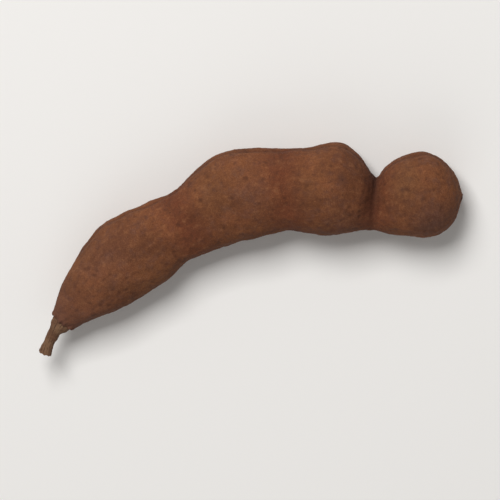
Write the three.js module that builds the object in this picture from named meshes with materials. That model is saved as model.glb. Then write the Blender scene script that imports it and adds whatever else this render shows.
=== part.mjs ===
// A whole tamarind pod, as picked, lying on its flat side. Shell and stalk are one closed skin.
//
// Millimetres, +Z up. The pod's bow lies in the XY plane: the stalk is at -X, the tip at +X, and the back,
// the outer side of the bow, faces +Y. The origin is on the surface that the pod lies on, below the middle
// of its bounding box.
import * as THREE from "three";
import { ParametricGeometry } from "three/addons/geometries/ParametricGeometry.js";

// ---- Driving dimensions ----

// The pod's line, from the stalk's cut end to the tip.
const spinePoints = [
  [-53.2, -27.5, 10.8],
  [-51.5, -23.6, 10.3],
  [-49.1, -19.9, 9.9],
  [-40.5, -9.9, 9.1],
  [-31.2, -2.1, 8.7],
  [-21.5, 4.1, 8.7],
  [-12.9, 9.2, 8.8],
  [-3.5, 13.4, 9.2],
  [8.0, 16.0, 9.5],
  [20.9, 16.5, 9.8],
  [31.7, 15.4, 9.7],
  [43.5, 14.5, 9.6],
  [54.4, 14.1, 9.6],
];

// How far the skin stands out from that line: to the back, to the belly, and up and down. Behind the stalk
// come three full seed chambers with shallow waists between them, and a deep waist parts off the round
// chamber at the tip.
const stations = [
  { along: 0.0, back: 1.7, belly: 1.8, thick: 1.7 }, // the stalk's cut end
  { along: 1.5, back: 1.5, belly: 1.5, thick: 1.5 },
  { along: 4.5, back: 1.4, belly: 1.4, thick: 1.4 },
  { along: 6.5, back: 1.7, belly: 1.7, thick: 1.7 },
  { along: 8.0, back: 2.3, belly: 2.4, thick: 2.3 }, // collar
  { along: 9.0, back: 2.5, belly: 2.6, thick: 2.5 },
  { along: 10.0, back: 3.1, belly: 3.2, thick: 3.1 }, // where the shell begins
  { along: 12.0, back: 4.1, belly: 4.3, thick: 3.9 },
  { along: 16.0, back: 5.9, belly: 6.2, thick: 5.4 },
  { along: 22.0, back: 8.1, belly: 8.5, thick: 7.3 },
  { along: 30.0, back: 10.0, belly: 10.1, thick: 8.7 },
  { along: 38.5, back: 10.5, belly: 10.1, thick: 9.1 }, // first chamber
  { along: 46.0, back: 9.3, belly: 8.8, thick: 8.5 },
  { along: 52.0, back: 8.7, belly: 9.3, thick: 8.3 },
  { along: 59.0, back: 10.7, belly: 10.2, thick: 9.1 },
  { along: 67.0, back: 12.7, belly: 10.7, thick: 9.7 }, // second chamber
  { along: 73.0, back: 12.0, belly: 10.4, thick: 9.5 },
  { along: 78.5, back: 10.8, belly: 10.6, thick: 9.2 },
  { along: 84.0, back: 10.6, belly: 11.6, thick: 9.7 },
  { along: 89.0, back: 11.7, belly: 12.1, thick: 10.2 }, // third chamber
  { along: 93.0, back: 11.5, belly: 11.7, thick: 10.0 },
  { along: 96.0, back: 9.5, belly: 11.0, thick: 9.3 },
  { along: 98.5, back: 7.1, belly: 10.1, thick: 8.2 },
  { along: 100.5, back: 4.8, belly: 9.5, thick: 6.8 },
  { along: 102.0, back: 3.5, belly: 9.2, thick: 5.9 }, // the deep waist
  { along: 103.0, back: 4.3, belly: 9.3, thick: 7.0 },
  { along: 104.5, back: 6.9, belly: 9.7, thick: 8.3 },
  { along: 107.5, back: 9.5, belly: 10.4, thick: 9.6 },
  { along: 113.0, back: 11.0, belly: 10.9, thick: 10.3 }, // fourth chamber
  { along: 119.0, back: 10.9, belly: 11.4, thick: 10.2 },
  { along: 125.0, back: 10.8, belly: 12.2, thick: 10.0 }, // before the tip is rounded off
];
const shellAlong = 10; // the stalk ends and the shell begins
const tipLength = 11.4; // over this length the last chamber rounds off to the tip
const beak = { length: 0.35, radius: 1.5 };

const sectionPower = 2.2; // 2 is an ellipse, more is squarer

// Seams along the back and the belly: a fine groove between two low lips, in radians from its middle.
const seams = [
  { around: 0, groove: 0.28, lip: 0.1 },
  { around: Math.PI, groove: 0.4, lip: 0.22 },
];
const grooveSpan = 0.09;
const lipAt = 0.24;
const lipSpan = 0.11;

// Shallow dents where the shell has dried in: place, depth, and half length and half span. Where the depth
// is negative the shell stands out instead, and bridges the deep waist towards the belly.
const dents = [
  { along: 27, around: 0.9, depth: 0.5, length: 4, span: 0.4 },
  { along: 33, around: 2.2, depth: 0.6, length: 5, span: 0.4 },
  { along: 54, around: 1.3, depth: 0.4, length: 4.5, span: 0.5 },
  { along: 79, around: 1.7, depth: 0.3, length: 3.6, span: 0.55 },
  { along: 53, around: 5.0, depth: 0.6, length: 5, span: 0.45 },
  { along: 76, around: 4.3, depth: 0.7, length: 6, span: 0.5 },
  { along: 101.6, around: 2.3, depth: -0.8, length: 1.6, span: 0.5 },
  { along: 101.6, around: 4.0, depth: -0.8, length: 1.6, span: 0.5 },
];

// Slow swells that keep the shell from being smooth: depth, waves per millimetre along, and waves round.
const swells = [
  { depth: 0.16, along: 0.21, around: 2, phase: 0.7 },
  { depth: 0.12, along: -0.39, around: 3, phase: 2.1 },
];
const settleLength = 12; // seams, dents and swells grow to full depth over this length of the shell

const rowCount = 108;
const sideCount = 44;

// ---- Helpers ----

// A bell of height 1 that has fallen to 1/e at the given reach.
function bell(distance, reach) {
  return Math.exp(-((distance / reach) ** 2));
}

// The signed angle from b to a, between -pi and pi.
function turnBetween(a, b) {
  return Math.atan2(Math.sin(a - b), Math.cos(a - b));
}

// ---- The pod's form ----

const spine = new THREE.CatmullRomCurve3(
  spinePoints.map(([x, y, z]) => new THREE.Vector3(x, y, z)),
  false,
  "catmullrom",
  0.5,
);
const podLength = spine.getLength();

// The slope of one of the sizes at a station, taken from its two neighbours.
function slopeAt(index, size) {
  const before = stations[Math.max(0, index - 1)];
  const after = stations[Math.min(stations.length - 1, index + 1)];
  return (after[size] - before[size]) / (after.along - before.along);
}

// One of the sizes at any place along the pod: a cubic from station to station.
function sizeAt(along, size) {
  const next = Math.max(1, stations.findIndex((station) => station.along > along));
  const a = stations[next - 1];
  const b = stations[next];
  const span = b.along - a.along;
  const t = (along - a.along) / span;
  const rise = t * t * (3 - 2 * t);
  const bend = slopeAt(next - 1, size) * (1 - t) - slopeAt(next, size) * t;
  return a[size] + (b[size] - a[size]) * rise + bend * span * t * (1 - t);
}

// From 1 at the last chamber's middle to 0 at the tip, as a quarter ellipse.
function tipRound(along) {
  const past = Math.max(0, (along - podLength + tipLength) / tipLength);
  return Math.sqrt(Math.max(0, 1 - past ** 2));
}

// What stands out from the plain section, or in where it is negative. The stalk has none.
function relief(along, around) {
  const settled = THREE.MathUtils.clamp((along - shellAlong) / settleLength, 0, 1) * tipRound(along);
  let height = 0;
  for (const seam of seams) {
    const off = Math.abs(turnBetween(around, seam.around));
    height += seam.lip * bell(off - lipAt, lipSpan) - seam.groove * bell(off, grooveSpan);
  }
  for (const dent of dents) {
    const off = turnBetween(around, dent.around);
    height -= dent.depth * bell(along - dent.along, dent.length) * bell(off, dent.span);
  }
  for (const swell of swells) {
    height += swell.depth * Math.sin(along * swell.along + around * swell.around + swell.phase);
  }
  return height * settled;
}

// A point of the skin. Filled to 0 it is the middle of the section, and filled to 1 it is on the skin, which
// is flattened where it would sink into the surface that the pod lies on.
function skinPoint(along, around, filled, target) {
  const share = THREE.MathUtils.clamp(along / podLength, 0, 1);
  const onward = spine.getTangentAt(share);
  const toBackSide = new THREE.Vector3(-onward.y, onward.x, 0).normalize();
  const c = Math.cos(around);
  const s = Math.sin(around);
  const square = (Math.abs(c) ** sectionPower + Math.abs(s) ** sectionPower) ** (-1 / sectionPower);
  const round = tipRound(along);
  const back = sizeAt(along, "back") * round;
  const belly = sizeAt(along, "belly") * round;
  const thick = sizeAt(along, "thick") * round;
  const out = relief(along, around);
  const wide = filled * ((back - belly) / 2 + c * (((back + belly) / 2) * square + out));
  const high = filled * s * (thick * square + out);
  const nearTip = along > podLength / 2 ? beak.length * bell(Math.hypot(wide, high), beak.radius) : 0;
  target.copy(spine.getPointAt(share)).addScaledVector(toBackSide, wide).addScaledVector(onward, nearTip);
  target.z = Math.max(0, target.z + high);
}

// Places along the pod, evenly spaced on the outline of its back.
function placesAlong(count) {
  const steps = 2400;
  const along = [];
  const run = [0];
  for (let i = 0; i <= steps; i++) {
    along.push(podLength * Math.sin(((Math.PI / 2) * i) / steps));
  }
  const out = along.map((place) => sizeAt(place, "back") * tipRound(place));
  for (let i = 1; i <= steps; i++) {
    run.push(run[i - 1] + Math.hypot(along[i] - along[i - 1], out[i] - out[i - 1]));
  }
  const places = [];
  for (let k = 0, i = 0; k <= count; k++) {
    const wanted = (run[steps] * k) / count;
    while (i < steps - 1 && run[i + 1] < wanted) i++;
    const share = (wanted - run[i]) / (run[i + 1] - run[i]);
    places.push(along[i] + share * (along[i + 1] - along[i]));
  }
  return places;
}

function makePod() {
  const cutMiddle = { along: 0, filled: 0 };
  const rows = [cutMiddle, ...placesAlong(rowCount).map((along) => ({ along, filled: 1 }))];
  const geometry = new ParametricGeometry(
    (u, v, target) => {
      const row = rows[Math.round(v * (rows.length - 1))];
      skinPoint(row.along, 2 * Math.PI * u, row.filled, target);
    },
    sideCount,
    rows.length - 1,
  );
  const material = new THREE.MeshStandardMaterial({ color: 0x7d5036, roughness: 0.86, metalness: 0 });
  const mesh = new THREE.Mesh(geometry, material);
  mesh.name = "pod";
  return mesh;
}

const tamarindPod = new THREE.Group();
tamarindPod.add(makePod());

export default tamarindPod;
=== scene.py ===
# A whole tamarind pod on its flat side: a dry brown shell with a fine scurf, and its short woody stalk.
import math
import bpy
import numpy as np
from mathutils import Matrix, Vector


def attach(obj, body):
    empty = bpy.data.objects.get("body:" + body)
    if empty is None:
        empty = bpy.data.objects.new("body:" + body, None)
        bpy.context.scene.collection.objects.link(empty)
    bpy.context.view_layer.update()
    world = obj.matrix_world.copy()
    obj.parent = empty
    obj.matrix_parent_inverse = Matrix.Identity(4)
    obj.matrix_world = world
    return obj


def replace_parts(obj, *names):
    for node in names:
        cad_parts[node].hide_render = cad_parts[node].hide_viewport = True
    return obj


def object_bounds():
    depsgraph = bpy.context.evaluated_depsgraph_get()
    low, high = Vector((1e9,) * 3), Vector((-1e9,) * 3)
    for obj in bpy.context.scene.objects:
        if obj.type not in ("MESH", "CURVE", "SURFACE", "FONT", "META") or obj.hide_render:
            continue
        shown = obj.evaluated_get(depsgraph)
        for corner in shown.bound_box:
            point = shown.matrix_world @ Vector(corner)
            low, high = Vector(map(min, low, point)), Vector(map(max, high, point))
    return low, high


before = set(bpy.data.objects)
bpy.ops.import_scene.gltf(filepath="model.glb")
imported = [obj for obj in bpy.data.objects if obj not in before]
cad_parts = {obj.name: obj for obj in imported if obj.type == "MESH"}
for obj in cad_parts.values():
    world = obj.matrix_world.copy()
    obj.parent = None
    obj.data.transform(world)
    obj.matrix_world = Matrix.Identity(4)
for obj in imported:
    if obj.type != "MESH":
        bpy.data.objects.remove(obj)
cadLow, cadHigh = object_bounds()
middle = (cadLow + cadHigh) / 2
mm = 0.001  # the form below is in millimetres, the scene in metres
print("frame loaded: box", [round(side / mm, 1) for side in cadHigh - cadLow], "mm")

# The form that shell and stalk share, in millimetres and radians.
podForm = {
    "spine": [  # from the stalk's cut end to the tip
        (-53.2, -27.5, 10.8), (-51.5, -23.6, 10.3), (-49.1, -19.9, 9.9), (-40.5, -9.9, 9.1),
        (-31.2, -2.1, 8.7), (-21.5, 4.1, 8.7), (-12.9, 9.2, 8.8), (-3.5, 13.4, 9.2),
        (8.0, 16.0, 9.5), (20.9, 16.5, 9.8), (31.7, 15.4, 9.7), (43.5, 14.5, 9.6), (54.4, 14.1, 9.6),
    ],
    "stations": [  # along, then how far the skin stands out to the back, to the belly, and up and down
        (0.0, 1.7, 1.8, 1.7),
        (1.5, 1.5, 1.5, 1.5),
        (4.5, 1.4, 1.4, 1.4),
        (6.5, 1.7, 1.7, 1.7),
        (8.0, 2.3, 2.4, 2.3),  # collar
        (9.0, 2.5, 2.6, 2.5),
        (10.0, 3.1, 3.2, 3.1),  # where the shell begins
        (12.0, 4.1, 4.3, 3.9),
        (16.0, 5.9, 6.2, 5.4),
        (22.0, 8.1, 8.5, 7.3),
        (30.0, 10.0, 10.1, 8.7),
        (38.5, 10.5, 10.1, 9.1),  # first chamber
        (46.0, 9.3, 8.8, 8.5),
        (52.0, 8.7, 9.3, 8.3),
        (59.0, 10.7, 10.2, 9.1),
        (67.0, 12.7, 10.7, 9.7),  # second chamber
        (73.0, 12.0, 10.4, 9.5),
        (78.5, 10.8, 10.6, 9.2),
        (84.0, 10.6, 11.6, 9.7),
        (89.0, 11.7, 12.1, 10.2),  # third chamber
        (93.0, 11.5, 11.7, 10.0),
        (96.0, 9.5, 11.0, 9.3),
        (98.5, 7.1, 10.1, 8.2),
        (100.5, 4.8, 9.5, 6.8),
        (102.0, 3.5, 9.2, 5.9),  # the deep waist
        (103.0, 4.3, 9.3, 7.0),
        (104.5, 6.9, 9.7, 8.3),
        (107.5, 9.5, 10.4, 9.6),
        (113.0, 11.0, 10.9, 10.3),  # fourth chamber
        (119.0, 10.9, 11.4, 10.2),
        (125.0, 10.8, 12.2, 10.0),
    ],
    "shellAlong": 10.0,  # the stalk ends and the shell begins
    "tipLength": 11.4,  # over this length the last chamber rounds off to the tip
    "beakLength": 0.35,
    "beakRadius": 1.5,
    "sectionPower": 2.2,  # 2 is an ellipse, more is squarer
    "seams": [(0.0, 0.28, 0.10), (math.pi, 0.40, 0.22)],  # around, groove, lip
    "grooveSpan": 0.09,
    "lipAt": 0.24,
    "lipSpan": 0.11,
    "dents": [  # along, around, depth, half length, half span
        (27, 0.9, 0.5, 4.0, 0.40),
        (33, 2.2, 0.6, 5.0, 0.40),
        (54, 1.3, 0.4, 4.5, 0.50),
        (79, 1.7, 0.3, 3.6, 0.55),
        (53, 5.0, 0.6, 5.0, 0.45),
        (76, 4.3, 0.7, 6.0, 0.50),
        (101.6, 2.3, -0.8, 1.6, 0.50),  # the deep waist is bridged towards the belly
        (101.6, 4.0, -0.8, 1.6, 0.50),
    ],
    "swells": [(0.16, 0.21, 2, 0.7), (0.12, -0.39, 3, 2.1)],  # depth, waves along, waves round, phase
    "settleLength": 12.0,  # seams, dents and swells grow to full depth over this length of the shell
}
upward = np.array([0.0, 0.0, 1.0])


def bell(distance, reach):
    # 1 at no distance, 1/e at the reach
    return np.exp(-((distance / reach) ** 2))


def turnBetween(a, b):
    # the signed angle from b to a, between -pi and pi
    return (a - b + math.pi) % (2 * math.pi) - math.pi


def smooth(low, high, value):
    # an S-curve from 0 at low to 1 at high
    t = np.clip((value - low) / (high - low), 0, 1)
    return t * t * (3 - 2 * t)


def unit(vectors):
    # each vector over its own length
    return vectors / np.maximum(np.linalg.norm(vectors, axis=-1, keepdims=True), 1e-9)


def curveThrough(points, steps=6000):
    # Catmull-Rom: a cubic from point to point, whose slope at each is half the step between its neighbours
    p = np.array(points, float)
    p = np.vstack([2 * p[0] - p[1], p, 2 * p[-1] - p[-2]])
    u = np.linspace(0, len(points) - 1, steps)
    i = np.minimum(u.astype(int), len(points) - 2)
    t = (u - i)[:, None]
    slopeIn, slopeOut = (p[i + 2] - p[i]) / 2, (p[i + 3] - p[i + 1]) / 2
    rise = t * t * (3 - 2 * t)
    place = p[i + 1] * (1 - rise) + p[i + 2] * rise
    place += slopeIn * t * (1 - t) ** 2 - slopeOut * t * t * (1 - t)
    run = np.concatenate([[0], np.cumsum(np.linalg.norm(np.diff(place, axis=0), axis=1))])
    return {"run": run, "place": place, "onward": unit(np.gradient(place, axis=0))}


def onCurve(curve, along):
    # the point, the way on and the way to the back of the bow, at each place along
    place = np.stack([np.interp(along, curve["run"], curve["place"][:, k]) for k in range(3)], -1)
    onward = unit(np.stack([np.interp(along, curve["run"], curve["onward"][:, k]) for k in range(3)], -1))
    toBack = unit(np.stack([-onward[..., 1], onward[..., 0], 0 * onward[..., 0]], -1))
    return place, onward, toBack


spine = curveThrough(podForm["spine"])
podLength = spine["run"][-1]


def sizeAt(along, column):
    # a cubic from station to station, whose slope at each is that between its neighbours
    table = np.array(podForm["stations"])
    x, y = table[:, 0], table[:, column]
    rise, run = (np.append(row[1:], row[-1]) - np.append(row[0], row[:-1]) for row in (y, x))
    slope = rise / run
    i = np.clip(np.searchsorted(x, along, side="right") - 1, 0, len(x) - 2)
    span = x[i + 1] - x[i]
    t = (along - x[i]) / span
    bend = slope[i] * (1 - t) - slope[i + 1] * t
    return y[i] + (y[i + 1] - y[i]) * t * t * (3 - 2 * t) + bend * span * t * (1 - t)


def tipRound(along):
    # a quarter ellipse, from 1 at the last chamber's middle to 0 at the tip
    past = np.clip((along - podLength + podForm["tipLength"]) / podForm["tipLength"], 0, 1)
    return np.sqrt(1 - past**2)


def formRelief(along, around):
    # seam grooves with their lips, dents and slow swells, growing from nothing where the shell begins
    height = 0 * along + 0 * around
    for place, groove, lip in podForm["seams"]:
        off = np.abs(turnBetween(around, place))
        height += lip * bell(off - podForm["lipAt"], podForm["lipSpan"])
        height -= groove * bell(off, podForm["grooveSpan"])
    for place, turn, depth, length, span in podForm["dents"]:
        height -= depth * bell(along - place, length) * bell(turnBetween(around, turn), span)
    for depth, waveAlong, waveAround, phase in podForm["swells"]:
        height += depth * np.sin(along * waveAlong + around * waveAround + phase)
    settled = np.clip((along - podForm["shellAlong"]) / podForm["settleLength"], 0, 1)
    return height * settled * tipRound(along)


def podSkin(along, around, relief):
    # a superellipse across the spine, its halves of unlike width, with the relief added outwards
    place, onward, toBack = onCurve(spine, along)
    c, s = np.cos(around), np.sin(around)
    power = podForm["sectionPower"]
    square = (np.abs(c) ** power + np.abs(s) ** power) ** (-1 / power)
    back, belly, thick = (sizeAt(along, column) * tipRound(along) for column in (1, 2, 3))
    wide = (back - belly) / 2 + c * ((back + belly) / 2 * square + relief)
    high = s * (thick * square + relief)
    beak = podForm["beakLength"] * bell(np.hypot(wide, high), podForm["beakRadius"])
    nearTip = beak * (along > podLength / 2)
    points = place + toBack * wide[..., None] + upward * high[..., None] + onward * nearTip[..., None]
    points[..., 2] = np.maximum(points[..., 2], 0)
    return points


def placesAlong(first, last, count, steps=4000):
    # places spread evenly over the outline of the back and of the top
    along = first + (last - first) * np.sin(np.linspace(0, math.pi / 2, steps))
    back, thick = (sizeAt(along, column) * tipRound(along) for column in (1, 3))
    step = np.sqrt(np.diff(along) ** 2 + (np.diff(back) ** 2 + np.diff(thick) ** 2) / 2)
    run = np.concatenate([[0], np.cumsum(step)])
    return np.interp(np.linspace(0, run[-1], count), run, along)


def outwardNormals(points):
    # the step round crossed with the step along, on a grid that closes on itself round
    roundStep = np.roll(points, -1, axis=1) - np.roll(points, 1, axis=1)
    alongStep = np.gradient(points, axis=0)
    return unit(np.cross(roundStep, alongStep))


def waves(points, layer, count=48):
    # a sum of plane waves of about the layer's size in all directions, with a spread of its depth
    size, depth, seed = layer
    rng = np.random.default_rng(seed)
    ways = unit(rng.normal(size=(count, 3))) * (2 * math.pi / size / rng.uniform(0.7, 1.5, (count, 1)))
    phases = rng.uniform(0, 2 * math.pi, count)
    total = np.zeros(points.shape[:-1])
    for way, phase in zip(ways, phases):
        total += np.sin(points @ way + phase)
    return depth * total / math.sqrt(count / 2)


def gridMesh(name, points, startPole, endPole, fields):
    # quads over a grid that closes on itself round, with a fan of triangles to a pole at each end
    rows, sides = points.shape[:2]
    vertices = np.vstack([points.reshape(-1, 3), startPole, endPole]) * mm
    row = np.arange(rows - 1)[:, None] * sides
    side = np.arange(sides)
    after = (side + 1) % sides
    quads = np.stack([row + side, row + after, row + sides + after, row + sides + side], -1).reshape(-1, 4)
    start, end = rows * sides, rows * sides + 1
    lastRow = (rows - 1) * sides
    fans = np.vstack([
        np.stack([0 * side + start, after, side], -1),
        np.stack([0 * side + end, lastRow + side, lastRow + after], -1),
    ])
    mesh = bpy.data.meshes.new(name)
    mesh.from_pydata(vertices.tolist(), [], quads.tolist() + fans.tolist())
    mesh.polygons.foreach_set("use_smooth", np.ones(len(mesh.polygons), bool))
    for field, values in fields.items():
        # a number or a vector at each point; a pole takes the mean of the row next to it
        kind, entry = ("FLOAT", "value") if values.ndim == 2 else ("FLOAT_VECTOR", "vector")
        flat = values.reshape(rows * sides, -1)
        flat = np.vstack([flat, values[0].mean(axis=0), values[-1].mean(axis=0)])
        layer = mesh.attributes.new(field, kind, "POINT")
        layer.data.foreach_set(entry, flat.astype(np.float32).ravel())
    piece = bpy.data.objects.new(name, mesh)
    bpy.context.scene.collection.objects.link(piece)
    return piece


# The shell's own relief and colour patches. Waves are given as size, depth and seed.
shellLook = {
    "rows": 478,
    "sides": 200,
    "startInside": 0.4,  # the skin starts this far inside the collar
    "endShort": 0.01,  # its last ring is this far short of the tip
    "lumps": [(11.0, 0.10, 40), (4.6, 0.055, 41), (1.9, 0.022, 42)],
    "scurf": (0.95, 0.016, 50),
    "scurfWaves": 96,
    "smallRelief": 0.15,  # scurf, pits and creases get painted shade in their hollows over this range of height
    "seamWander": [(0.035, 3.1, 0), (0.025, 1.3, 1)],  # turn, length, phase
    "seamSpan": 0.10,  # the seam's dark line, and where it starts and is full, from the stalk
    "seamFrom": (2.0, 10.0),
    "pitCount": 900,
    "pitSeed": 31,
    "pitRadius": (0.28, 0.6),
    "pitDepth": (0.02, 0.09),
    "pitDark": 0.08,  # a pit of this depth is fully coloured
    "creases": [(52.0, 2.0), (78.5, 2.4), (102.3, 3.2)],  # along, half length of the creased stretch
    "creaseDepth": 0.10,
    "creaseWaves": 1.9,  # radians a millimetre
    "creaseWaver": [(7.0, 0.88, 61), (2.4, 0.48, 62)],
    "creaseBreaks": (5.0, 1.0, 63),
    "creaseWhole": (-0.4, 0.9),  # the creases are broken below the first value and whole above the second
    "ribs": 9,  # fibres that run on from the stalk under the skin
    "ribWaver": (5.0, 0.5, 64),
    "ribDepth": 0.20,
    "ribLength": 6.82,  # they fade to 1/e over it
    "ribMean": 0.3,  # this share of a rib's height is taken off, so that the shell doesn't swell
    "ribFrom": (-0.4, 2.0),
    "tears": [(0.22, 5, 1.0), (0.16, 11, 2.0), (0.10, 17, 0.0)],  # depth, waves round, phase
    "tearLength": 0.8,
    "scarRadius": 1.0,  # the dried scar at the tip
    "scarHeight": 0.16,
    "scarCrumple": (1.1, 0.5, 65),
    "scarDark": 1.3,  # its dark colour reaches this many times as far
    "tipRise": 0.02,  # the tip's last point stands out this far from the ring round it
    "waists": [(52.0, 5.0), (78.5, 5.0), (102.3, 4.5)],  # along, half length of the redder band
    "foldAt": 101.6,  # the deep waist's painted shade: its darkest line, and how far it shades off before and after it
    "foldBefore": 3.4,
    "foldAfter": 1.1,
    "foldTurn": 0.3,  # it is darkest this far round from the back
    "foldShare": (0.62, 0.38),  # what is dark all round, and what fades towards the belly
    "stalkEndLength": 7.0,  # the shell is greyer over this length from the stalk
    "bloom": [  # greyer patches: along, around, half length, half span, strength
        (18, 2.6, 5.0, 0.80, 0.4), (31, 1.1, 8.0, 0.70, 0.4), (44, 4.1, 9.0, 0.90, 0.6),
        (60, 5.6, 7.0, 0.70, 0.5), (71, 1.35, 3.6, 0.50, 0.35), (88, 5.1, 8.0, 0.80, 0.5),
        (94, 2.2, 4.0, 0.45, 0.4), (117, 2.0, 5.0, 0.55, 1.0),
    ],
    "ochre": [  # yellower patches
        (24, 0.3, 6.0, 0.70, 0.4), (36, 2.4, 7.0, 0.60, 0.5), (62, 1.0, 4.5, 0.60, 0.5),
        (66, 3.6, 7.0, 0.80, 0.5), (85, 1.2, 4.0, 0.50, 0.4), (97, 4.3, 8.0, 0.80, 0.5),
        (109, 0.95, 4.0, 0.6, 0.9),
    ],
    "bruises": [  # small dark smudges
        (27, 1.7, 0.7, 0.09, 0.6), (35, 4.4, 0.9, 0.11, 0.7), (42, 0.7, 0.6, 0.07, 0.7),
        (47, 5.3, 0.8, 0.08, 0.8), (54, 2.0, 0.5, 0.06, 0.7), (62.5, 0.95, 0.5, 0.05, 0.6),
        (70, 3.9, 0.9, 0.10, 0.7), (84, 5.6, 0.7, 0.07, 0.8), (88, 2.3, 0.6, 0.06, 0.5),
        (92.6, 1.07, 0.8, 0.14, 1.0), (97, 4.7, 0.8, 0.09, 0.7), (108.4, 1.13, 0.7, 0.07, 0.9),
        (113.6, 1.38, 0.6, 0.06, 0.9), (114.5, 1.2, 0.5, 0.05, 0.6), (114.2, 1.62, 0.5, 0.05, 0.6),
        (118, 4.2, 0.8, 0.10, 0.7),
    ],
    "flowRadius": 10.0,  # the mean radius that fibres and scratches are laid out on
}


def pitField(points):
    # round pits at places drawn from the grid, each a bell of its own radius and depth
    rng = np.random.default_rng(shellLook["pitSeed"])
    flat = points.reshape(-1, 3)
    chosen = flat[rng.integers(0, len(flat), shellLook["pitCount"])]
    radii = rng.uniform(*shellLook["pitRadius"], len(chosen))
    depths = rng.uniform(*shellLook["pitDepth"], len(chosen)) * radii / shellLook["pitRadius"][1]
    order = np.argsort(flat[:, 0])
    sortedX = flat[order, 0]
    height = np.zeros(len(flat))
    # a bell has died away at three times its radius
    for centre, radius, depth in zip(chosen, radii, depths):
        low, high = np.searchsorted(sortedX, [centre[0] - 3 * radius, centre[0] + 3 * radius])
        near = order[low:high]
        distance = np.linalg.norm(flat[near] - centre, axis=1)
        height[near] -= depth * bell(distance, radius)
    return height.reshape(points.shape[:2])


def creaseField(points, along):
    # narrow folds across the pod at its waists: the sharpened ridges of a sine that wavers and is broken
    waver = sum(waves(points, layer) for layer in shellLook["creaseWaver"])
    whole = smooth(*shellLook["creaseWhole"], waves(points, shellLook["creaseBreaks"]))
    creased = np.zeros(points.shape[:2])
    for place, reach in shellLook["creases"]:
        ridge = 1 - np.abs(np.sin((along - place) * shellLook["creaseWaves"] + waver))
        creased += ridge**3 * bell(along - place, reach) * whole
    return creased


def ribField(points, around, fromStalk):
    # squared cosines round the pod that waver and die away from the stalk
    ribs = (0.5 + 0.5 * np.cos(around * shellLook["ribs"] + waves(points, shellLook["ribWaver"]))) ** 2
    fading = np.exp(-np.maximum(fromStalk, 0) / shellLook["ribLength"])
    return (ribs * fading - shellLook["ribMean"]) * smooth(*shellLook["ribFrom"], fromStalk)


def patchField(along, around, patches):
    # soft-edged patches, each a bell along the pod times a bell round it
    total = 0 * along + 0 * around
    for place, turn, length, span, strength in patches:
        total = total + strength * bell(along - place, length) * bell(turnBetween(around, turn), span)
    return np.clip(total, 0, 1)


def foldShadeField(along, around):
    # the deep waist's painted shade: a bell that is longer towards the stalk, and weaker towards the belly
    off = along - shellLook["foldAt"]
    reach = np.where(off < 0, shellLook["foldBefore"], shellLook["foldAfter"])
    allRound, backOnly = shellLook["foldShare"]
    return bell(off, reach) * (allRound + backOnly * np.cos(around - shellLook["foldTurn"]))


def makeShell():
    # the pod's skin from inside the stalk's collar to the tip, with fine relief along its own normals
    first = podForm["shellAlong"] - shellLook["startInside"]
    along = placesAlong(first, podLength - shellLook["endShort"], shellLook["rows"])[:, None]
    around = np.linspace(0, 2 * math.pi, shellLook["sides"], endpoint=False)[None, :]
    fromStalk = along - podForm["shellAlong"]
    wander = sum(turn * np.sin(along / length + phase) for turn, length, phase in shellLook["seamWander"])
    turned = around + wander
    points = podSkin(along, around, formRelief(along, turned))
    normals = outwardNormals(points)
    ends, onward, _ = onCurve(spine, np.array([first, podLength]))

    # small relief also paints shade into the skin's hollows; lumps, ribs, the torn rim and the scar only
    # shape it
    pits = pitField(points)
    small = waves(points, shellLook["scurf"], shellLook["scurfWaves"]) + pits
    small -= shellLook["creaseDepth"] * creaseField(points, along)
    height = small + sum(waves(points, layer) for layer in shellLook["lumps"])
    height += shellLook["ribDepth"] * ribField(points, around, fromStalk)
    torn = sum(depth * np.sin(around * count + phase) for depth, count, phase in shellLook["tears"])
    height += torn * bell(fromStalk, shellLook["tearLength"])
    fromTip = np.linalg.norm(points - ends[1], axis=-1)
    scar = bell(fromTip, shellLook["scarRadius"]) * (1 + waves(points, shellLook["scarCrumple"]))
    height += shellLook["scarHeight"] * scar
    points = points + normals * height[..., None]
    points[..., 2] = np.maximum(points[..., 2], 0)
    tip = points[-1].mean(axis=0) + shellLook["tipRise"] * onward[1]

    waist = sum(bell(along - centre, reach) for centre, reach in shellLook["waists"])
    seam = sum(bell(turnBetween(turned, side), shellLook["seamSpan"]) for side, *_ in podForm["seams"])
    high = points[..., 2] - onCurve(spine, along)[0][..., 2]
    flow = [along + 0 * around, shellLook["flowRadius"] * np.cos(around) + 0 * along, high]
    fields = {
        "waist": waist + 0 * around,
        "bloom": patchField(along, around, shellLook["bloom"]),
        "ochre": patchField(along, around, shellLook["ochre"]),
        "bruise": patchField(along, around, shellLook["bruises"]),
        "foldShade": foldShadeField(along, around),
        "seam": seam * smooth(*shellLook["seamFrom"], fromStalk),
        # the small relief's height, whose hollows get painted shade
        "fine": np.clip(0.5 + small / shellLook["smallRelief"], 0, 1),
        "flow": np.stack(flow, -1) * mm,
        "pit": np.clip(-pits / shellLook["pitDark"], 0, 1),
        "stalkEnd": np.exp(-np.maximum(fromStalk, 0) / shellLook["stalkEndLength"]) + 0 * around,
        "scar": bell(fromTip, shellLook["scarDark"] * shellLook["scarRadius"]),
    }
    shell = gridMesh("podShell", points, ends[0], tip, fields)
    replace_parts(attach(shell, "root"), "pod")
    return shell


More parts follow.
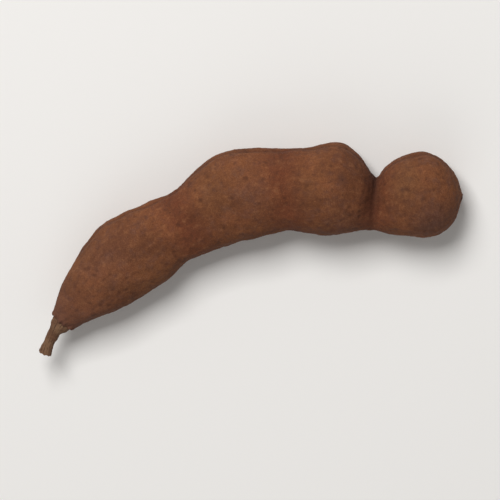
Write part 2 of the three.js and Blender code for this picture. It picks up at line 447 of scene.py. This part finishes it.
# The stalk's own relief.
stalkLook = {
    "rows": 150,
    "sides": 96,
    "cutRows": 14,
    "cutFilled": (0.06, 0.97),  # the cut face's first and last row, as shares of its radius
    "sunkFrom": 8.8,  # from here on the stalk narrows, and it ends inside the shell
    "sunkTo": 11.6,
    "sunkRadius": 1.2,
    "twist": 0.05,  # radians a millimetre
    "fibreDepth": 0.07,
    "fibres": [(0.6, 23), (0.4, 13)],  # share of that depth, how many round the stalk
    "fibreWander": (0.9, 0.4),  # radians a millimetre
    "fibreFrom": (0.0, 0.6),  # they start at the first place and are full at the second
    "fibreRelief": 0.12,  # they colour the bark over this range of height
    "knobs": (0.10, 1.7, 2),  # depth, waves along, waves round
    "knobFrom": (0.5, 3.0),
    "bark": (0.8, 0.03, 73),
    "tornRings": (0.7, 0.10, 71),
    "tornEdge": (1.4, 0.14, 72),
    "pithDepth": 0.12,
    "pithReach": 0.35,  # as a share of the radius
    "cutReach": 0.02,  # what lies within this of the stalk's start is its cut face
}


def fibreField(along, around):
    # two cosines round the stalk, of many and of few waves, that wander along it
    turned = around + stalkLook["twist"] * along
    (manyShare, many), (fewShare, few) = stalkLook["fibres"]
    manyWander, fewWander = stalkLook["fibreWander"]
    fibre = manyShare * np.cos(turned * many + np.sin(along * manyWander))
    fibre += fewShare * np.cos(turned * few + along * fewWander)
    return stalkLook["fibreDepth"] * fibre * smooth(*stalkLook["fibreFrom"], along)


def cutFace(points, filled):
    # how far the cut face stands out: torn rings and a torn edge, round a sunken pith
    rings = waves(points, stalkLook["tornRings"])
    edge = filled**4 * waves(points, stalkLook["tornEdge"])
    return rings + edge - stalkLook["pithDepth"] * bell(filled, stalkLook["pithReach"])


def makeStalk():
    # an ellipse across the spine with fibres and knobs on it, after a cut face filled from its middle
    cutRows, rows, sides = (stalkLook[name] for name in ("cutRows", "rows", "sides"))
    along = np.concatenate([np.zeros(cutRows), np.linspace(0, stalkLook["sunkTo"], rows)])[:, None]
    filled = np.concatenate([np.linspace(*stalkLook["cutFilled"], cutRows), np.ones(rows)])[:, None]
    around = np.linspace(0, 2 * math.pi, sides, endpoint=False)[None, :]
    place, onward, toBack = onCurve(spine, along)
    sunk = smooth(stalkLook["sunkFrom"], stalkLook["sunkTo"], along)
    back, belly, thick = (sizeAt(along, column) * (1 - sunk) + stalkLook["sunkRadius"] * sunk
                          for column in (1, 2, 3))
    fibre = fibreField(along, around)
    depth, waveAlong, waveAround = stalkLook["knobs"]
    knobs = depth * np.sin(along * waveAlong + around * waveAround) * smooth(*stalkLook["knobFrom"], along)
    wide = (back - belly) / 2 + np.cos(around) * ((back + belly) / 2 + fibre + knobs)
    high = np.sin(around) * (thick + fibre + knobs)
    points = place + toBack * (filled * wide)[..., None] + upward * (filled * high)[..., None]
    cut = bell(along, stalkLook["cutReach"])
    points = points + onward * (cut * cutFace(points, filled))[..., None]
    bark = waves(points, stalkLook["bark"]) * (1 - cut)
    points = points + outwardNormals(points) * bark[..., None]
    sunkEnd, _, _ = onCurve(spine, np.array([stalkLook["sunkTo"]]))
    fields = {
        "cut": cut + 0 * around,
        "fine": np.clip(0.5 + fibre / stalkLook["fibreRelief"], 0, 1),
        "ring": filled + 0 * around,
    }
    stalk = gridMesh("podStalk", points, points[0].mean(axis=0), sunkEnd[0], fields)
    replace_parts(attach(stalk, "root"), "pod")
    return stalk


def feed(tree, socket, value):
    # a socket given another socket is linked to it, and is set to a plain value otherwise
    if isinstance(value, bpy.types.NodeSocket):
        tree.links.new(value, socket)
    else:
        socket.default_value = value


def addNode(tree, kind, settings=None, **values):
    # a node with its settings and what goes into its named sockets
    node = tree.nodes.new(kind)
    for setting, value in (settings or {}).items():
        setattr(node, setting, value)
    for name, value in values.items():
        feed(tree, node.inputs[name.replace("_", " ")], value)
    return node


def worked(tree, operation, a, b=0.0, clamp=False):
    # one step of arithmetic
    node = addNode(tree, "ShaderNodeMath", {"operation": operation, "use_clamp": clamp})
    feed(tree, node.inputs[0], a)
    feed(tree, node.inputs[1], b)
    return node.outputs[0]


def ranged(tree, value, low, high, newLow=0.0, newHigh=1.0):
    # a value moved from one range to another with a soft start and end
    node = addNode(tree, "ShaderNodeMapRange", {"interpolation_type": "SMOOTHSTEP"}, Value=value,
                   From_Min=low, From_Max=high, To_Min=newLow, To_Max=newHigh)
    return node.outputs[0]


def noise(tree, place, scale, detail, roughness=0.5, distortion=0.0):
    # soft noise, of this many bumps a metre
    return addNode(tree, "ShaderNodeTexNoise", Vector=place, Scale=scale, Detail=detail,
                   Roughness=roughness, Distortion=distortion).outputs["Fac"]


def carried(tree, name, output="Fac"):
    # what the mesh carries at its points under this name
    settings = {"attribute_name": name, "attribute_type": "GEOMETRY"}
    return addNode(tree, "ShaderNodeAttribute", settings).outputs[output]


def carriedShare(tree, name, share):
    # a share, plain or a mask, of what the mesh carries
    return worked(tree, "MULTIPLY", carried(tree, name), share)


def layered(tree, tone, coats):
    # each coat is a colour laid over what is below it by its own mask
    for colour, mask in coats:
        node = addNode(tree, "ShaderNodeMix", {"data_type": "RGBA"})
        for index, value in ((0, mask), (6, tone), (7, colour)):
            feed(tree, node.inputs[index], value)
        tone = node.outputs[2]
    return tone


def asSeen(red, green, blue):
    # a colour given as it looks on a screen, from 0 to 255
    return tuple(((part / 255 + 0.055) / 1.055) ** 2.4 for part in (red, green, blue)) + (1.0,)


def makeDrySkinGroup():
    # sandy grains, soft flecks, round dark specks and slow blotches of a dry plant skin, sized in millimetres
    group = bpy.data.node_groups.new("drySkin", "ShaderNodeTree")
    face = group.interface
    face.new_socket("Vector", in_out="INPUT", socket_type="NodeSocketVector")
    for name in ("Grain size", "Fleck size", "Speck spacing", "Speck radius", "Blotch size"):
        face.new_socket(name, in_out="INPUT", socket_type="NodeSocketFloat").default_value = 1.0
    for name in ("Grain", "Fleck", "Speck", "Blotch", "Mottle", "Height"):
        face.new_socket(name, in_out="OUTPUT", socket_type="NodeSocketFloat")
    given = group.nodes.new("NodeGroupInput").outputs
    result = group.nodes.new("NodeGroupOutput").inputs
    place = given["Vector"]

    def perMetre(name, times=1.0):
        # how many of this size fit in a metre
        return worked(group, "DIVIDE", times / mm, given[name])

    def ownShade(cells):
        # a random number for each cell
        return addNode(group, "ShaderNodeSeparateColor", Color=cells["Color"]).outputs["Red"]

    def cellsAt(where, scale):
        # each cell's random colour, and how far the place is from its centre
        return addNode(group, "ShaderNodeTexVoronoi", Vector=where, Scale=scale).outputs

    # a grain is a cell of its own brightness that falls off towards its edge, and noise moves it by a grain
    stir = addNode(group, "ShaderNodeTexNoise", Vector=place, Scale=perMetre("Grain size", 0.7), Detail=1.0)
    shift = addNode(group, "ShaderNodeVectorMath", {"operation": "SCALE"}, Vector=stir.outputs["Color"],
                    Scale=worked(group, "MULTIPLY", given["Grain size"], 0.9 * mm)).outputs[0]
    moved = addNode(group, "ShaderNodeVectorMath", {"operation": "ADD"})
    feed(group, moved.inputs[0], place)
    feed(group, moved.inputs[1], shift)
    grains = cellsAt(moved.outputs[0], perMetre("Grain size"))
    shade = worked(group, "ADD", worked(group, "MULTIPLY", ownShade(grains), 0.7), 0.3)
    grain = worked(group, "MULTIPLY", ranged(group, grains["Distance"], 0.9, 0.0), shade)
    # flecks and blotches are noise, and so is the mottle, about a third of a blotch in size
    fleck = noise(group, place, perMetre("Fleck size"), detail=5.0, roughness=0.7)
    blotch = noise(group, place, perMetre("Blotch size"), detail=1.5, roughness=0.45)
    mottle = noise(group, place, perMetre("Blotch size", 3.1), detail=3.0, roughness=0.55, distortion=0.3)
    # a cell's distance is in cells, so a speck's reach is its radius over the spacing; some cells have none
    cells = cellsAt(place, perMetre("Speck spacing"))
    reach = worked(group, "DIVIDE", given["Speck radius"], given["Speck spacing"])
    inward = worked(group, "SUBTRACT", 1.0, worked(group, "DIVIDE", cells["Distance"], reach), clamp=True)
    chosen = ranged(group, ownShade(cells), 0.3, 0.8)
    speck = worked(group, "MULTIPLY", ranged(group, inward, 0.0, 0.6), chosen)
    # grains and flecks stand out, and specks are sunk
    height = worked(group, "ADD", worked(group, "MULTIPLY", grain, 0.5), fleck)
    height = worked(group, "SUBTRACT", height, worked(group, "MULTIPLY", speck, 0.6))
    outcomes = {"Grain": grain, "Fleck": fleck, "Speck": speck, "Blotch": blotch, "Mottle": mottle,
                "Height": height}
    for name, value in outcomes.items():
        feed(group, result[name], value)
    return group


def skinNode(tree, drySkin, place, sizes):
    # the dry skin laid on with a material's own sizes
    return addNode(tree, "ShaderNodeGroup", {"node_tree": drySkin}, Vector=place, **sizes).outputs


def newMaterial(name):
    # a material with an empty tree, its output and its Principled shader
    material = bpy.data.materials.new(name)
    material.use_nodes = True
    tree = material.node_tree
    tree.nodes.clear()
    shader = addNode(tree, "ShaderNodeBsdfPrincipled")
    output = addNode(tree, "ShaderNodeOutputMaterial")
    feed(tree, output.inputs["Surface"], shader.outputs["BSDF"])
    return material, tree, shader


def intoShader(tree, shader, look, tone, rough, height):
    # what every skin ends in: its colour, its roughness, its fine relief and a little gloss
    feed(tree, shader.inputs["Base Color"], tone)
    feed(tree, shader.inputs["Roughness"], rough)
    bump = addNode(tree, "ShaderNodeBump", Strength=look["bumpStrength"], Distance=look["bumpDepth"])
    feed(tree, bump.inputs["Height"], height)
    feed(tree, shader.inputs["Normal"], bump.outputs["Normal"])
    shader.inputs["Specular IOR Level"].default_value = look["gloss"]


# The shell's colours, and the sizes of its grain.
shellSkin = {
    "body": asSeen(112, 67, 40),
    "warm": asSeen(122, 74, 44),
    "red": asSeen(107, 57, 34),  # the waists
    "deep": asSeen(80, 45, 29),
    "scurf": asSeen(142, 95, 64),
    "grey": asSeen(101, 69, 58),
    "ochre": asSeen(113, 75, 45),
    "bloom": asSeen(97, 67, 57),
    # the colour of the painted shade in the deep waist and of the seams' dark line
    "shade": asSeen(52, 27, 19),
    "speck": asSeen(50, 30, 22),
    "dusk": asSeen(66, 42, 36),  # the bruises
    "worn": asSeen(140, 84, 52),  # where the scurf is rubbed thin
    "sizes": {"Grain_size": 0.26, "Fleck_size": 1.6, "Speck_spacing": 1.25, "Speck_radius": 0.2,
              "Blotch_size": 16.0},  # millimetres
    "cloudsPerMetre": 415.0,
    "wearPerMetre": 110.0,  # soft darker and paler places, about 9 mm across
    "drawnOut": (0.12, 1.0, 1.0),  # how dense fibres and scratches are along the pod, round it and up
    "fibresPerMetre": 1100.0,
    "scratchSizes": {"Speck_spacing": 2.2, "Speck_radius": 0.16},
    "bumpStrength": 0.6,
    "bumpDepth": 0.00022,
    "gloss": 0.2,
}


def makeShellMaterial(drySkin):
    # sandy brown scurf over a redder shell: warm and grey blotches, soft wear, dark specks, redder waists,
    # painted shade in small hollows and the deep waist
    material, tree, shader = newMaterial("shellSkin")
    look = shellSkin
    place = addNode(tree, "ShaderNodeTexCoord").outputs["Object"]
    skin = skinNode(tree, drySkin, place, look["sizes"])
    cloud = noise(tree, place, look["cloudsPerMetre"], detail=5.0, roughness=0.7)
    wear = noise(tree, place, look["wearPerMetre"], detail=2.0, roughness=0.6)
    # fibres and scratches are drawn out along the pod, so they read the place along it and round it
    flow = addNode(tree, "ShaderNodeMapping", {"vector_type": "POINT"}, Scale=look["drawnOut"],
                   Vector=carried(tree, "flow", "Vector")).outputs[0]
    fibre = noise(tree, flow, look["fibresPerMetre"], detail=2.0)
    scratch = skinNode(tree, drySkin, flow, look["scratchSizes"])["Speck"]
    uneven = ranged(tree, skin["Mottle"], 0.3, 0.6, 0.5, 1.0)
    coats = [  # from the lowest up
        ("warm", ranged(tree, skin["Blotch"], 0.3, 0.7)),
        ("grey", ranged(tree, cloud, 0.45, 0.7, 0.0, 0.65)),
        ("red", ranged(tree, skin["Mottle"], 0.5, 0.2, 0.0, 0.4)),
        ("red", carriedShare(tree, "waist", uneven)),
        ("ochre", carriedShare(tree, "ochre", 0.7)),
        ("bloom", carriedShare(tree, "bloom", 0.8)),
        ("deep", ranged(tree, wear, 0.5, 0.3, 0.0, 0.35)),
        ("worn", ranged(tree, wear, 0.5, 0.7, 0.0, 0.42)),
        ("deep", ranged(tree, fibre, 0.5, 0.25, 0.0, 0.35)),
        ("deep", ranged(tree, skin["Fleck"], 0.5, 0.25, 0.0, 0.68)),
        ("deep", ranged(tree, skin["Grain"], 0.4, 0.05, 0.0, 0.38)),
        ("scurf", ranged(tree, skin["Grain"], 0.35, 0.9, 0.0, 0.34)),
        ("scurf", ranged(tree, skin["Fleck"], 0.5, 0.78, 0.0, 0.58)),
        # painted shade in the hollows of the small relief
        ("deep", ranged(tree, carried(tree, "fine"), 0.5, 0.0, 0.0, 0.5)),
        ("speck", carriedShare(tree, "pit", 0.22)),
        ("dusk", carriedShare(tree, "bruise", 0.6)),
        ("deep", worked(tree, "MULTIPLY", scratch, 0.4)),
        ("speck", worked(tree, "MULTIPLY", skin["Speck"], 0.42)),
        ("shade", carriedShare(tree, "seam", 0.35)),
        ("grey", carriedShare(tree, "stalkEnd", 0.5)),
        # painted shade in the deep waist
        ("shade", carriedShare(tree, "foldShade", 0.75)),
        ("speck", carriedShare(tree, "scar", 0.5)),
    ]
    tone = layered(tree, look["body"], [(look[name], mask) for name, mask in coats])
    rough = ranged(tree, skin["Fleck"], 0.2, 0.8, 0.78, 0.96)
    height = worked(tree, "ADD", skin["Height"], worked(tree, "MULTIPLY", fibre, 0.5))
    intoShader(tree, shader, look, tone, rough, height)
    return material


# The same for the stalk.
stalkSkin = {
    "bark": asSeen(97, 66, 46),
    "dark": asSeen(52, 33, 23),
    "pale": asSeen(126, 95, 69),
    "wood": asSeen(140, 108, 76),
    "sizes": {"Grain_size": 0.16, "Fleck_size": 0.4, "Speck_spacing": 0.9, "Speck_radius": 0.16,
              "Blotch_size": 3.0},
    "bumpStrength": 0.5,
    "bumpDepth": 0.0002,
    "gloss": 0.3,
}


def makeStalkMaterial(drySkin):
    # greyer bark with dark grooves between its fibres, and pale torn wood on the cut face
    material, tree, shader = newMaterial("stalkBark")
    look = stalkSkin
    place = addNode(tree, "ShaderNodeTexCoord").outputs["Object"]
    skin = skinNode(tree, drySkin, place, look["sizes"])
    grooves = worked(tree, "MULTIPLY", ranged(tree, carried(tree, "fine"), 0.55, 0.0),
                     ranged(tree, skin["Mottle"], 0.65, 0.35, 0.2, 0.9))
    wood = layered(tree, look["wood"], [
        (look["bark"], ranged(tree, skin["Mottle"], 0.4, 0.65)),
        (look["dark"], ranged(tree, carried(tree, "ring"), 0.25, 0.05)),
    ])
    tone = layered(tree, look["bark"], [
        (look["pale"], ranged(tree, skin["Blotch"], 0.35, 0.65, 0.0, 0.7)),
        (look["dark"], grooves),
        (look["pale"], ranged(tree, skin["Fleck"], 0.5, 0.75, 0.0, 0.5)),
        (look["dark"], worked(tree, "MULTIPLY", skin["Speck"], 0.6)),
        (wood, carried(tree, "cut")),
    ])
    rough = ranged(tree, skin["Fleck"], 0.3, 0.7, 0.72, 0.9)
    intoShader(tree, shader, look, tone, rough, skin["Height"])
    return material


drySkin = makeDrySkinGroup()
shell = makeShell()
shell.data.materials.append(makeShellMaterial(drySkin))
print("shell:", len(shell.data.polygons), "faces")
stalk = makeStalk()
stalk.data.materials.append(makeStalkMaterial(drySkin))
print("stalk:", len(stalk.data.polygons), "faces")

# What the pod lies on and is lit by, in metres and watts.
studio = {
    "floorColour": asSeen(241, 239, 236),
    "floorHalf": 3.0,
    "floorDrop": 0.00005,  # it lies this far below the pod
    "floorRoughness": 0.9,
    "floorGloss": 0.1,
    "lights": [  # name, from the pod's middle, side, power
        ("key", (-0.35, 0.95, 1.2), 0.6, 22.2),
        ("fill", (-0.3, -1.1, 0.8), 1.2, 2.8),
    ],
    "skyColour": (1.0, 0.985, 0.965, 1.0),
    "skyStrength": 0.21,
}
view = {
    "rise": 18.7,  # degrees from straight down, towards the back of the bow
    "side": -1.1,  # degrees from the middle, towards the stalk
    "distance": 1.6,
    "across": 0.129,  # how much of the pod's plane the frame's width takes in
    "sees": (0.05, 20.0),
}


def makeFloor():
    # a wide pale sheet just below the pod
    half, down = studio["floorHalf"], -studio["floorDrop"]
    mesh = bpy.data.meshes.new("floor")
    corners = [(-half, -half, down), (half, -half, down), (half, half, down), (-half, half, down)]
    mesh.from_pydata(corners, [], [(0, 1, 2, 3)])
    floor = bpy.data.objects.new("floor", mesh)
    bpy.context.scene.collection.objects.link(floor)
    material, tree, shader = newMaterial("floorPaper")
    shader.inputs["Base Color"].default_value = studio["floorColour"]
    shader.inputs["Roughness"].default_value = studio["floorRoughness"]
    shader.inputs["Specular IOR Level"].default_value = studio["floorGloss"]
    mesh.materials.append(material)


def makeLight(name, away, size, power):
    # a square soft light that looks at the pod's middle
    lamp = bpy.data.lights.new(name, "AREA")
    lamp.size = size
    lamp.energy = power
    light = bpy.data.objects.new(name, lamp)
    light.location = middle + Vector(away)
    light.rotation_euler = (-Vector(away)).to_track_quat("-Z", "Y").to_euler()
    light.visible_camera = False
    bpy.context.scene.collection.objects.link(light)


def makeSky():
    # a little even light from all round
    world = bpy.data.worlds.new("sky")
    world.use_nodes = True
    background = world.node_tree.nodes["Background"]
    background.inputs["Color"].default_value = studio["skyColour"]
    background.inputs["Strength"].default_value = studio["skyStrength"]
    bpy.context.scene.world = world


def makeCamera():
    # looks down on the pod with the back of the bow at the top of the frame
    rise, side = math.radians(view["rise"]), math.radians(view["side"])
    away = Vector((math.sin(side), math.sin(rise) * math.cos(side), math.cos(rise) * math.cos(side)))
    lens = bpy.data.cameras.new("camera")
    lens.lens = lens.sensor_width * view["distance"] / view["across"]
    lens.clip_start, lens.clip_end = view["sees"]
    camera = bpy.data.objects.new("camera", lens)
    across = Vector((0, 1, 0)).cross(away).normalized()
    turn = Matrix((across, away.cross(across), away)).transposed()
    camera.matrix_world = Matrix.Translation(middle + away * view["distance"]) @ turn.to_4x4()
    bpy.context.scene.collection.objects.link(camera)
    bpy.context.scene.camera = camera


makeFloor()
for light in studio["lights"]:
    makeLight(*light)
makeSky()
makeCamera()
bpy.context.scene.view_settings.view_transform = "Standard"
print("studio ready")
